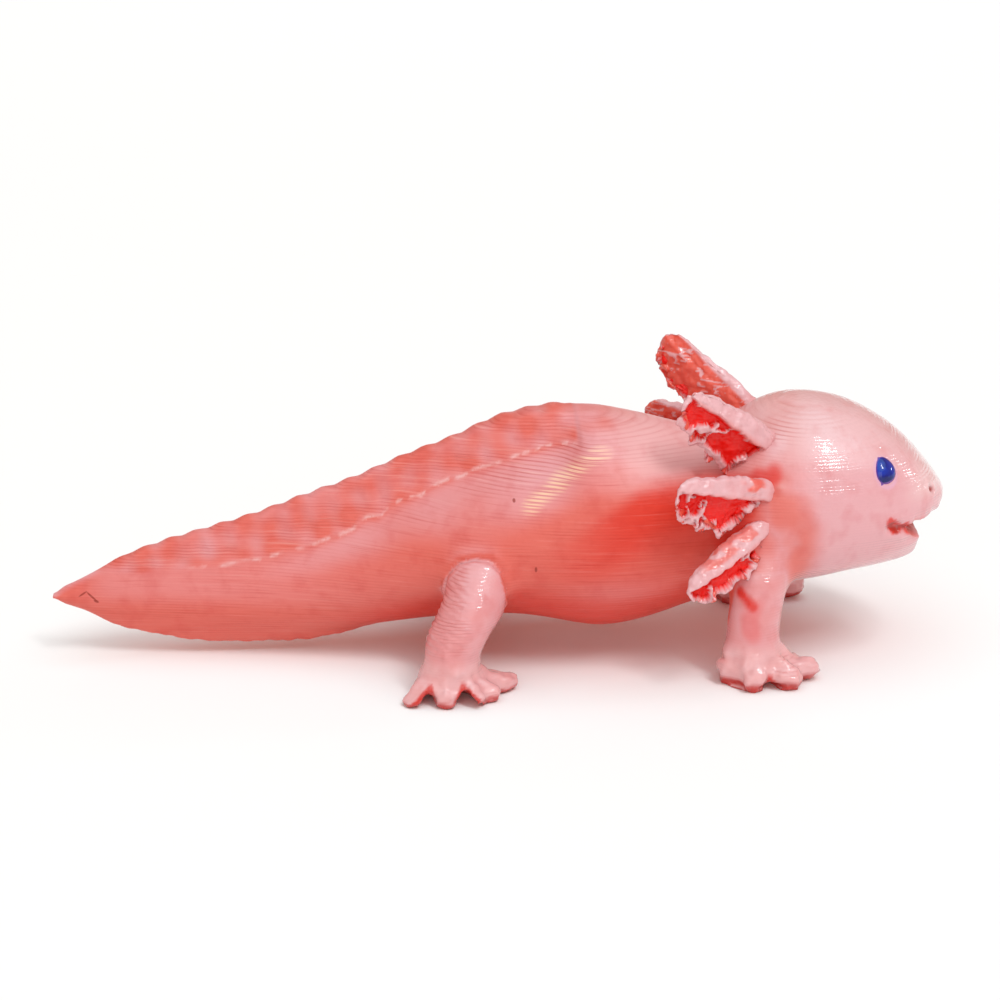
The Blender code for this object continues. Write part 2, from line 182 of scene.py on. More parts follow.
def outline(nodeName, step):    # heights of a node's lower and upper edge along x, in mm
    places = readMesh(nodes[nodeName])[0]
    bins = np.round(places[:, 0] / step).astype(int)
    keys = np.unique(bins)
    low = [places[bins == k, 2].min() for k in keys]
    high = [places[bins == k, 2].max() for k in keys]
    return keys * step, np.array(low), np.array(high)


def addAttribute(obj, name, values):
    layer = obj.data.attributes.new(name, "FLOAT", "POINT")
    layer.data.foreach_set("value", np.clip(values, 0, 1).astype(np.float32))


def addNode(tree, kind, inputs=(), out=0, **settings):    # inputs are links, values or hex colours
    node = tree.nodes.new("ShaderNode" + kind)
    for name, value in settings.items():
        setattr(node, name, value)
    for key, value in dict(inputs).items():
        if isinstance(value, bpy.types.NodeSocket):
            tree.links.new(value, node.inputs[key])
        else:
            node.inputs[key].default_value = hexColour(value) if isinstance(value, str) else value
    return node.outputs[out]


fleshNodes = [name for name in nodes if not name.startswith(("gill", "eye", "mouth"))]
body = {    # sizes and places in mm, places on the left side
    "voxel": 0.26,          # the grid that the skin is fused on
    "swell": 0.25,          # closes the cuts between the solids
    "toeSwell": 0.08,       # less between the toes, so that their gaps stay open
    "softRounds": 110,      # smoothing of trunk, tail and head
    "crispRounds": 5,       # smoothing of toes and lips
    "scallopPitch": 2.3,    # along the fin's edge
    "scallopRise": 0.1,
    "rippleDepth": 0.13,    # soft folds down the fin's sides
    "finFront": 6.9,
    "footLip": 0.1,         # raised line where the muscle meets the fin
    "keelRough": 0.16,      # of the tail's lower edge
    "tailStretch": 0.4,     # what smoothing takes off the tail's point
    "tailPinch": 0.5,       # how much the very point narrows
    "terrace": 0.42,        # how nearly flat the layers' treads are where the back is level
    "crumple": 0.22,        # lumps of paint on the feet
    "toeSlope": (2.3, 0.8),    # height of the toes next to the ankle, and how fast they thin out
    "soleRough": 0.35,      # how far the forefoot's ragged sole draws in
    "leftForefootStep": (2.1, 1.0),    # the left forefoot stands ahead of the right one
    "heel": ((18.9, 9.3, 2.7), 0.4, 1.2),    # lump behind the wrist: place, height, width
    "thighLine": [(-6.9, 9.6, 6.6), (-6.0, 8.9, 8.3), (-4.9, 7.9, 10.2), (-3.9, 7.7, 11.2),
                  (-2.6, 8.1, 11.6), (-1.3, 8.0, 11.4), (-0.5, 8.5, 10.6),
                  (-0.1, 9.1, 9.2), (0.1, 9.5, 7.6)],
    "thighSwell": 0.3,      # the thigh stands out of the flank
    "thighGroove": 0.28,    # round the thigh
    "thighRidge": (0.07, 0.62),    # height and pitch of the brush's ridges behind the thigh
    "drops": [(23.7, 5.8, 21.3), (24.2, 8.3, 17.6), (-3.3, 13.1, 4.8), (-4.3, 13.9, 2.9),
              (-5.4, 13.4, 4.4), (-2.1, 11.9, 9.6), (23.5, 10.5, 3.0), (22.9, 13.0, 1.9),
              (20.6, 12.4, 2.6)],
    "dropSize": (0.16, 0.36),    # height and width of these beads of paint
    "nostril": (38.2, 4.4, 16.1),
    "nostrilDepth": 0.35,
    "mouthLine": [(34.1, 8.0, 13.8), (34.8, 7.7, 13.65), (35.5, 7.2, 13.4)],
    "mouthDepth": 0.5,      # of the groove at the corner of the mouth
    "jawCrease": 0.12,      # behind the jaw
    "toeGaps": {    # tents between the toes, the inner and the outer end: rear, ridge, front, y, height
        "hindfoot": [((-7.3, -6.8, -6.5, 10.6, 1.0), (-9.6, -6.7, -6.1, 15.6, 2.9)),
                     ((-4.2, -3.9, -3.5, 10.6, 1.0), (-5.2, -3.9, -0.9, 15.6, 2.9))],
        "forefoot": [((22.9, 23.2, 23.6, 9.8, 0.8), (22.0, 23.2, 25.4, 14.6, 2.2))],
    },
    "pink": "#dda4aa",
    "layers": [    # of paint, some in part painted shade or light, each over the last one where the attribute of its name says
        ("#d8685c", "salmonWashAndShade"), ("#ecd0cf", "paleCoatAndPaintedLight"), ("#d43a2a", "deepWashAndShade"),
        ("#d62211", "redPaint"), ("#dcaccf", "lilacHalo"), ("#971b13", "darkRedShade")],
    "grain": 1.1,           # between the dimples of the paint
    "flankTop": ([-3.0, 4.8, 8.8, 11.8, 17.5, 21.0],    # x and z of the deep red's upper edge
                 [9.5, 13.6, 16.0, 17.8, 18.8, 18.8]),
    "smears": [             # of the gills' red: line, width, strength
        ([(23.2, 7.5, 18.8), (20.4, 7.5, 17.6)], 1.4, 0.75),
        ([(20.4, 9.0, 17.0), (19.6, 9.0, 10.5)], 2.0, 0.75),
        ([(20.4, 9.9, 8.8), (20.9, 10.4, 8.3), (21.5, 11.0, 7.7)], 0.9, 1.0),
        ([(21.6, 11.3, 7.6), (21.5, 11.3, 5.4)], 1.5, 0.46)],
    "cheek": [(22.0, 8.5, 19.5), (24.2, 9.0, 16.0), (26.3, 9.2, 13.2), (26.0, 8.8, 10.5)],    # salmon
    # line of the painted highlight on the upper flank
    "paintedHighlightLine": [(8.6, 5.7, 20.4), (5.0, 5.9, 18.1), (2.3, 7.0, 16.2)],
    "gillRoots": [(23.8, 5.9, 21.2), (24.6, 8.3, 17.3), (24.2, 8.8, 14.9)],    # paler round these
    "fleckColour": "#8e2a1e",
    "flecks": [             # place, half length along x, y, z, and the lean in radians
        ((2.7, -8.66, 10.8), (0.14, 0.5, 0.3), 0.0), ((0.9, -6.2, 16.4), (0.16, 0.5, 0.2), 0.0),
        ((-37.8, -1.0, 6.15), (0.55, 1.0, 0.1), -0.6), ((-37.0, -1.1, 5.95), (0.8, 1.0, 0.12), 0.75),
        ((-36.6, -1.1, 5.5), (0.3, 1.0, 0.16), 0.4)],
}
dorsalX, dorsalFoot, dorsalEdge = outline("dorsal_fin", 1.2)
ventralX, ventralEdge, ventralFoot = outline("ventral_fin", 1.2)


def toeShare(places):    # 1 on the toes and the soles, 0 from the ankle up
    x, y, z = places.T
    return (1 - ease(z, 2.0, 3.2)) * ease(np.abs(y), 5.0, 6.5) * ease(x, -12.0, -10.5)


def dorsalShare(places, low, high):    # 0 below the foot of the dorsal fin, 1 above it
    x, y, z = places.T
    foot = np.interp(x, dorsalX, dorsalFoot)
    return ease(z - foot, low, high) * (1 - ease(x, body["finFront"] - 0.5, body["finFront"] - 0.1))


def gapShare(places, reach):    # 1 inside the gaps between the toes, 0 beyond reach mm from them
    share = np.zeros(len(places))
    flat = folded(places)
    ahead = (places[:, 1] > 0) & (places[:, 0] > 10)
    x = flat[:, 0] - ahead * body["leftForefootStep"][0]
    y = flat[:, 1] - ahead * body["leftForefootStep"][1]
    for inner, outer in body["toeGaps"]["hindfoot"] + body["toeGaps"]["forefoot"]:
        way = np.clip((y - inner[3]) / (outer[3] - inner[3]), 0, 1)
        rear, ridge, front, _, height = (a + (b - a) * way for a, b in zip(inner, outer))
        level = np.clip(places[:, 2] / height, 0, 1)
        outside = np.maximum(rear + (ridge - rear) * level - x, x - front + (front - ridge) * level)
        outside = np.maximum(outside, np.maximum(places[:, 2] - height, inner[3] - y))
        share = np.maximum(share, 1 - ease(outside, 0.0, reach))
    return share


def cutToeGaps(foot, kind, side):
    step = body["leftForefootStep"] if (kind, side) == ("forefoot", "left") else (0, 0)
    for ends in body["toeGaps"][kind]:
        bpy.ops.mesh.primitive_cylinder_add(vertices=3, radius=mm, depth=mm)
        tent = bpy.context.object
        for i, vertex in enumerate(tent.data.vertices):
            rear, ridge, front, y, height = ends[i % 2]
            x, z = [(rear, -0.2), (ridge, height), (front, -0.2)][i // 2]
            vertex.co = Vector((x + step[0], (y + step[1]) * (1 if side == "left" else -1), z)) * mm
        bpy.ops.object.mode_set(mode="EDIT")
        bpy.ops.mesh.select_all(action="SELECT")
        bpy.ops.mesh.normals_make_consistent(inside=False)
        bpy.ops.object.mode_set(mode="OBJECT")
        applyModifier(foot, "BOOLEAN", operation="DIFFERENCE", object=tent)
        bpy.data.objects.remove(tent)


def fuseSkin():    # trunk, head, tail, fins, legs and feet as one closed skin
    copies = []
    for nodeName in fleshNodes:
        copies.append(nodeCopy("flesh_" + nodeName, nodeName))
        kind, _, side = nodeName.partition("_")
        if kind in body["toeGaps"]:
            cutToeGaps(copies[-1], kind, side)
    useOnly(*copies)
    bpy.ops.object.join()
    skin = copies[0]
    skin.name = skin.data.name = "painted_skin"
    places, normals, edges = readMesh(skin)
    toes = toeShare(places)[:, None]
    writePlaces(skin, places + normals * (body["swell"] * (1 - toes) + body["toeSwell"] * toes))
    applyModifier(skin, "REMESH", mode="VOXEL", voxel_size=body["voxel"] * mm)
    places, normals, edges = readMesh(skin)
    toes = toeShare(places)[:, None]
    places = smoothed(places, edges, 2, keepSize=True)
    writePlaces(skin, places - normals * (body["swell"] * (1 - toes) + body["toeSwell"] * toes))
    return skin


def smoothSkin(places, edges):    # takes the facets off, and leaves fins, toes and lips crisp
    x, y, z = places.T
    lips = ease(x, 33.0, 35.5) * (1 - ease(np.abs(z - 12.5), 2.5, 4.0))
    keel = 1 - ease(z - np.interp(x, ventralX, ventralFoot), -1.0, 0.3)
    fin = np.maximum(dorsalShare(places, 0.2, 1.6), keel)
    front = between(x, 5.0, 6.0, 7.5, 9.0) * ease(z, 20.0, 21.5) * 0.35
    tip = 1 - ease(x, -40.0, -37.0)
    soft = 1 - np.max([toeShare(places), lips * 0.95, fin * 0.93, front, tip], axis=0)
    places = smoothed(places, edges, body["crispRounds"], keepSize=True)
    return smoothed(places, edges, body["softRounds"], soft)


def sculptFins(places, normals):    # scallops and folds of the dorsal fin, and a raised line at its foot
    x, y, z = places.T
    turn = (x - tailEnd) / body["scallopPitch"]
    edge = np.interp(x, dorsalX, dorsalEdge)
    onFin = dorsalShare(places, 0.3, 1.4) * ease(x, -37.0, -33.0)
    nearEdge = ease(z - edge, -1.2, -0.1) * onFin
    lobes = np.abs(np.sin(np.pi * turn)) - 0.6
    places[:, 2] += body["scallopRise"] * lobes * nearEdge
    uneven = 0.6 + 0.5 * rough(places * (1, 0, 0.5), 3.0, 1)
    folds = np.cos(2 * np.pi * (turn + 0.12 * (z - edge)) + 0.8 * rough(places, 4.0, 2))
    sides = onFin * (1 - 0.5 * nearEdge)
    places[:, 1] += np.sign(y) * body["rippleDepth"] * folds * uneven * sides * ease(np.abs(y), 0.15, 0.5)
    foot = np.interp(x, dorsalX, dorsalFoot)
    line = mound(z - foot - 0.25, 0.28) * between(x, -29.0, -24.0, 5.5, 6.5)
    places += normals * (body["footLip"] * line * (0.7 + 0.9 * rough(places, 1.2, 3)))[:, None]
    ragged = (1 - ease(z - np.interp(x, ventralX, ventralEdge), 0.1, 0.9)) * ease(-x, 10.0, 14.0)
    places[:, 2] += body["keelRough"] * rough(places, 0.9, 4) * ragged
    middle = z[x < x.min() + 0.4].mean()
    places[:, 2] = middle + (z - middle) * (1 - body["tailPinch"] * ease(-x, 38.8, 40.1) ** 2)
    places[:, 0] -= body["tailStretch"] * ease(-x, 37.5, 40.0)
    return places


def snapped(places, points):    # the skin's points nearest to the given ones
    return [places[np.argmin(np.linalg.norm(places - point, axis=1))] for point in points]


def thighShare(places):    # 1 on the hind leg, 0 on the trunk above its outline
    x, y, z = folded(places).T
    lineX, _, lineZ = np.array(body["thighLine"]).T
    share = ease(np.interp(x, lineX, lineZ) - z, -0.15, 0.15) * ease(y, 6.8, 7.8) * ease(x, -11.0, -10.0)
    return share * (1 - ease(x, 0.0, 0.3) * ease(z, 5.0, 6.0))


def sculptFeet(places, normals):    # thins the hind toes out, and adds lumps where print and paint gathered
    x, y, z = places.T
    apart = np.hypot(x + 5.0, np.abs(y) - 11.2)
    height = np.maximum(body["toeSlope"][0] - body["toeSlope"][1] * (apart - 2.4), 0.55)
    thin = ease(apart, 2.2, 2.8) * (1 - 0.75 * ease(x, -2.5, -1.0))
    squeeze = np.clip(height / 1.7, 0.35, 1) * thin + 1 - thin
    places[:, 2] *= np.where((x < 2.5) & (z < 2.6) & (np.abs(y) > 7), squeeze, 1)
    foot = (1 - ease(z, 3.0, 4.2)) * ease(np.abs(y), 5.0, 6.5) * ease(z, 0.0, 0.5) * ease(x, -12, -10.5)
    fore = 1 + 0.5 * ease(x, 10, 11)
    lips = ease(x, 35.0, 36.2) * (1 - ease(np.abs(z - 13.2), 1.0, 1.8))
    lumps = rough(places, 1.4, 6) + 0.7 * rough(places, 0.7, 7)
    places += normals * (body["crumple"] * lumps * np.maximum(foot * fore, lips * 0.8))[:, None]
    heel, rise, width = body["heel"]
    away = np.linalg.norm(folded(places) - heel, axis=1)
    places += normals * (rise * mound(away, width))[:, None]
    thigh = ease(-x, 2.5, 4.0) * ease(x, -7.5, -6.5) * between(z, 3.5, 5.0, 10.0, 11.0)
    thigh *= ease(np.abs(y), 8.6, 9.6)
    rise, pitch = body["thighRidge"]
    ridge = np.sin(2 * np.pi * (z + 0.35 * x) / pitch + 2.0 * rough(places, 2.5, 11))
    places += normals * (rise * ridge * thigh)[:, None]
    both = folded(places)
    away = strokeDistance(both, snapped(both, body["thighLine"]))
    inside = thighShare(places) * (1 - ease(away, 0.6, 3.0))
    places += normals * (body["thighSwell"] * inside - body["thighGroove"] * mound(away, 0.3))[:, None]
    rise, width = body["dropSize"]
    for drop in snapped(both, body["drops"]):
        away = np.linalg.norm(both - drop, axis=1)
        places += normals * (rise * mound(away, width))[:, None]
    under = ease(x, 17.0, 18.0) * ease(np.abs(y), 8.5, 9.5) * (1 - ease(z, 0.5, 0.9)) * ease(z, 0.02, 0.2)
    inward = body["soleRough"] * under * (0.7 + 0.8 * rough(places, 0.9, 14))
    places[:, :2] -= normals[:, :2] * inward[:, None]
    return places


def sculptFace(places, normals):    # nostrils, the line of the mouth, and the faint crease behind the jaw
    x, y, z = places.T
    both = folded(places)
    away = np.linalg.norm(both - snapped(both, [body["nostril"]])[0], axis=1)
    places -= normals * (body["nostrilDepth"] * mound(away, 0.3) - 0.1 * mound(away - 0.6, 0.25))[:, None]
    away = strokeDistance(both, snapped(both, body["mouthLine"]))
    ragged = 0.75 + 0.8 * rough(places, 0.7, 12)
    places -= normals * (body["mouthDepth"] * mound(away, 0.38) * ragged)[:, None]
    places += normals * (0.1 * mound(away - 0.85, 0.3) * ragged)[:, None]    # its raised lip
    crease = mound(x - 25.4 - 0.12 * (z - 14), 0.5) * between(z, 9.5, 11, 14, 16.5)
    places -= normals * (body["jawCrease"] * crease)[:, None]
    places += normals * (0.07 * rough(places, 3.5, 13) * ease(x, 20, 26))[:, None]    # uneven head
    return places


def sculptTerraces(places, normals):    # the printer's layers show as treads where the skin is level
    x, y, z = places.T
    turn = (z + 0.05 * rough(places, 6.0, 5)) / layerHeight
    saw = turn - np.floor(turn) - 0.5
    level = ease(normals[:, 2], 0.80, 0.96) * ease(z, 10.0, 14.0)
    level *= 0.3 * (1 - ease(x, 18.0, 20.0)) + between(x, 20.0, 22.0, 24.5, 28.0)    # back and nape
    places[:, 2] -= saw * layerHeight * body["terrace"] * level
    return places


def buildSkin():
    skin = fuseSkin()
    places, _, edges = readMesh(skin)
    writePlaces(skin, smoothSkin(places, edges))
    for sculpt in (sculptFins, sculptFeet, sculptFace, sculptTerraces):
        places, normals, _ = readMesh(skin)
        writePlaces(skin, sculpt(places, normals))
    triangles = sum(len(face.vertices) - 2 for face in skin.data.polygons)
    print("skin:", len(skin.data.vertices), "points", triangles, "triangles")
    return skin


def paintSkin():
    places, normals, _ = readMesh(skin)
    x, y, z = places.T
    both = folded(places)
    across, up = both[:, 1], normals[:, 2]
    cloudy, fine = rough(places, 5.0, 20), rough(places, 1.4, 21)
    head = ease(x + 0.8 * fine, 21.0, 26.0)
    limbs = between(x, 19.0, 20.0, 24.5, 25.5) * ease(across, 8.8, 9.5) * (1 - ease(z, 10, 11))
    limbs = np.maximum(limbs, thighShare(places))
    limbs = np.maximum(limbs, (1 - ease(z, 2.4, 3.4)) * ease(across, 5.0, 6.0) * ease(x, -11.0, -10.0))
    # salmon: partly the paint's own colour, partly painted shade, paler where the skin faces up and stronger
    # on the sides and underneath
    top = ease(up + 0.15 * cloudy, 0.3, 0.85)
    salmon = (1 - top * (0.62 + 0.15 * between(x, -4.0, 6.0, 7.0, 11.0))) * (1 - head)
    salmon *= 1 - 0.3 * ease(-x, 2.0, 30.0) * ease(z, 4.5, 7.0) * ease(x, -39.0, -35.0)
    salmon = np.maximum(salmon, head * (1 - ease(x, 23.5, 28.0)) * 0.6)
    salmon *= 1 - 0.85 * limbs
    salmon = np.maximum(salmon, 0.42 * limbs * between(x, -12, -10, -4.5, -2.0) * ease(z, 2.5, 4.0))
    salmon = np.maximum(salmon, limbs * (0.3 + 0.2 * fine))
    for spot in body["gillRoots"]:
        away = np.linalg.norm(both - spot, axis=1)
        salmon *= 1 - 0.7 * (1 - ease(away + 0.3 * fine, 0.6, 1.6))
    cheek = strokeDistance(both, body["cheek"]) + 0.9 * fine + 0.8 * cloudy
    cheek = (1 - ease(cheek, 0.2, 3.5)) * (1 - ease(x, 26.0, 28.8)) * (1 - limbs)
    salmon = np.maximum(salmon, 0.95 * cheek)
    salmon *= 1 - 0.35 * mound(x - 10.5, 5) * mound(z - 7.8, 2)    # painted highlight: paler low on the flank
    turn = (x - tailEnd) / body["scallopPitch"]
    fin = dorsalShare(places, 0.0, 0.6) + 0.55 * between(x, 6.6, 7.0, 9.0, 17.0) * ease(z, 21.4, 22.2)
    # painted shade: the fin's bands are darker salmon in the grooves of its folds
    foldShadeBands = 0.5 - 0.5 * np.cos(2 * np.pi * turn + 0.8 * rough(places, 4.0, 2))
    patchy = rough(places * (0.7, 1, 1.2), 1.9, 22)
    salmon = salmon * (1 - fin) + fin * (0.77 + 0.22 * (foldShadeBands - 0.5) + 0.5 * patchy)
    below = np.interp(x, *body["flankTop"]) - z
    # deep red behind the gills: partly the paint's colour, partly painted shade from the gills and head
    deep = ease(below + 0.4 * cloudy, -0.6, 1.3) * between(x, 1.0, 12.0, 20.5, 23.0) * (1 - limbs)
    deep *= 1 - 0.62 * ease(below, 3.2, 7.4)
    # painted shade: deep red on the surfaces facing down
    deep = np.maximum(deep, 0.9 * ease(-up, 0.1, 0.7) * (1 - head) * (1 - limbs) * ease(x, -18.0, -8.0))
    red = np.zeros(len(x))
    for line, width, strength in body["smears"]:
        away = strokeDistance(both, line) + 0.45 * width * fine
        red = np.maximum(red, strength * (1 - ease(away, 0.3 * width, width)))
    # painted shade: dark red on the low surfaces facing down beside the feet
    dark = (1 - ease(up, -0.45, 0.1)) * (1 - ease(z, 0.5, 1.2)) * ease(across, 6.0, 7.0)
    inMouth = np.zeros(len(x))
    snout = np.flatnonzero(x > 33.0)
    gaps = [liningTree.find_nearest(Vector(p) * mm)[3] / mm for p in places[snout]]
    inMouth[snout] = 1 - ease(gaps, 0.6, 1.0)
    # salmon and red paint inside the mouth, partly painted light that warms its shade
    salmon = np.maximum(salmon, inMouth * (0.9 - 0.45 * ease(x, 36.2, 37.0)))
    red = np.maximum(red, inMouth * ease(up, -0.3, 0.3) * (0.85 - 0.8 * ease(x, 35.7, 36.5)))
    # painted shade: red and dark red on the soles and on the walls of the gaps between the toes
    shadedSoles = 1 - ease(z + 0.3 * fine, 0.2, 0.4) + ease(x, 17, 18) * (1 - ease(z + 0.35 * fine, 0.45, 0.7))
    shadedSoles = np.minimum(shadedSoles, 1) * (1 - ease(up, 0.2, 0.5)) * ease(across, 6.0, 7.0)
    shadedGapSides = gapShare(places, 0.3) * (1 - ease(up, 0.5, 0.8))
    red = np.max([red, shadedSoles, shadedGapSides, dark], axis=0)
    dark = 0.45 * np.max([dark, shadedSoles, 0.6 * shadedGapSides], axis=0)
    nostril = snapped(both, [body["nostril"]])[0]
    # darker in the nostril's pit
    dark = np.maximum(dark, 1 - ease(np.linalg.norm(both - nostril, axis=1), 0.15, 0.38))
    seam = strokeDistance(places * (1, 0, 1), [(6.9, 0, 20.8), (6.6, 0, 23.2)])    # painted shade: darker in the crease at the fin's front
    dark = np.maximum(dark, 0.16 * (1 - ease(seam, 0.05, 0.35)))
    away = strokeDistance(both, snapped(both, body["mouthLine"])) + 0.35 * rough(places, 0.6, 23)
    red = np.maximum(red, 1 - ease(away, 0.4, 0.6))
    # painted shade: darker along the groove of the mouth
    dark = np.maximum(dark, 0.75 * (1 - ease(away, 0.1, 0.5)))
    # paler: partly painted light, on the head's top and on the shoulder that the gills shade, and partly the
    # paint's own paler feet and snout
    pale = np.max([0.35 * ease(up, 0.35, 0.9) * ease(x, 22.0, 27.0), 0.3 * limbs * (1 - ease(z, 3.0, 4.5)),
                   0.55 * ease(x, 34.5, 38) * ease(z, 15.0, 16.5), 0.3 * top * ease(x, 7.0, 13.0)], axis=0)
    away = np.linalg.norm((both - eyes["left"][1]) * (1, 1, 0.8), axis=1)
    halo = between(away, 0.9, 1.1, 1.15, 1.4)
    foot = np.interp(x, dorsalX, dorsalFoot)
    ledge = between(z - foot, -3.2, -1.0, 0.0, 0.3) * between(x, -8, 0, 8, 10)
    dome = ease(up, 0.6, 0.85) * between(x, 20.5, 22.0, 24.0, 27.5)
    rear = ease(-x, 2.6, 4.2) * limbs * ease(z, 4.0, 5.5)
    lines = np.max([0.7 * ledge, 0.75 * dome, 0.6 * rear, 0.26 * (1 - head) * (1 - limbs), 0.03 * head,
                    0.05 * limbs, 0.42 * dorsalShare(places, 0.0, 0.5)], axis=0)
    lines *= 1 - 0.6 * deep
    # painted highlight: cream strokes along the layers on the upper flank
    paintedHighlightLine = 1 - ease(strokeDistance(both, body["paintedHighlightLine"]) + 0.4 * fine, 0.2, 1.3)
    # painted highlight along the raised line at the fin's foot
    lip = mound(z - foot - 0.2, 0.14) * between(x, -30.0, -24.0, 6.0, 6.8)
    pale = np.maximum(pale, lip * ease(rough(places, 0.9, 24), -0.15, 0.15) * 0.5)
    pale *= 1 - inMouth
    for name, values in (("salmonWashAndShade", salmon), ("deepWashAndShade", deep), ("redPaint", red), ("darkRedShade", dark),
                         ("paleCoatAndPaintedLight", pale), ("glossCoat", np.maximum(head, limbs) * (1 - inMouth)),
                         ("lineCoat", lines), ("lilacHalo", halo * 0.55), ("paintedHighlight", paintedHighlightLine)):
        addAttribute(skin, name, values)


def addFlecks(tree, place, colour):    # stray touches of the red
    for centre, size, lean in body["flecks"]:
        shifted = addNode(tree, "VectorMath", {0: place, 1: [c * mm for c in centre]}, operation="SUBTRACT")
        turned = addNode(tree, "Mapping", {"Vector": shifted, "Rotation": (0, -lean, 0)})
        scaled = addNode(tree, "Mapping", {"Vector": turned, "Scale": [1 / (s * mm) for s in size]})
        away = addNode(tree, "VectorMath", {0: scaled}, out="Value", operation="LENGTH")
        share = addNode(tree, "MapRange", {0: away, 1: 1.0, 2: 0.6, 3: 0.0, 4: 0.8})
        colours = {0: share, 6: colour, 7: body["fleckColour"]}
        colour = addNode(tree, "Mix", colours, out=2, data_type="RGBA")
    return colour


skin = buildSkin()
skinTree = BVHTree.FromObject(skin, bpy.context.evaluated_depsgraph_get())

gillPlan = {    # sizes in mm, places on the left side
    "shape": {    # root, tip, and the way the fringe hangs
        "upper": ((24.0, 4.6, 20.2), (15.9, 8.2, 26.7), (-0.35, 0.1, -0.85)),
        "middle": ((24.2, 7.4, 16.9), (14.5, 11.9, 19.4), (-0.1, 0.1, -1.0)),
        "lower": ((24.2, 7.8, 14.9), (15.5, 12.5, 10.0), (0.3, 0.2, -0.9)),
    },
    "voxel": 0.12,
    "sink": 0.5,         # how far the stalk's foot runs into the skin
    "melt": 0.92,        # how nearly the root's surface is drawn down to the skin
    "cup": 0.9,          # depth of the red hollow in the outer face
    "taper": {"upper": 0.34, "middle": 0.12, "lower": 0.0},    # how much thinner the stalk is at its tip
    "leftRaise": 0.7,    # the left upper gill stands a little higher
    "pit": 1.7,          # between the pits of red
    "lumps": 0.17,
    "ragged": 0.38,      # waves of the rim
    "pink": "#dfaeb3",
    "layers": [("#e05846", "washPaintAndShade"), ("#e80c00", "redPaint")],    # of paint, each over the last one; the wash is in part painted shade
    "grain": 0.6,
    "stains": {          # on the top of the stalk: start and end along it, strength
        "upper": (0.0, 0.0, 0.0), "middle": (0.2, 0.42, 0.9), "lower": (0.2, 0.8, 0.7),
    },
}


def gillFrame(side, level):
    root, tip, hang = gillPlan["shape"][level]
    flip = np.array([1, 1 if side == "left" else -1, 1])
    root, tip, hang = (np.array(v) * flip for v in (root, tip, hang))
    length = np.linalg.norm(tip - root)
    along = (tip - root) / length
    hang = hang - along * hang.dot(along)
    hang /= np.linalg.norm(hang)
    out = np.cross(along, hang)
    out *= np.sign(out[1] * flip[1])
    return root, along, hang, out, length


def skinDistance(places):    # how far the places stand out of the skin, 0 inside it, and the way back to it
    nearest = [skinTree.find_nearest(Vector(p) * mm)[:2] for p in places]
    ways = np.array([n[0] for n in nearest]) / mm - places
    outside = (ways * np.array([n[1] for n in nearest])).sum(axis=1) < 0
    gap = np.linalg.norm(ways, axis=1)
    return gap * outside, ways / np.maximum(gap, 1e-6)[:, None]


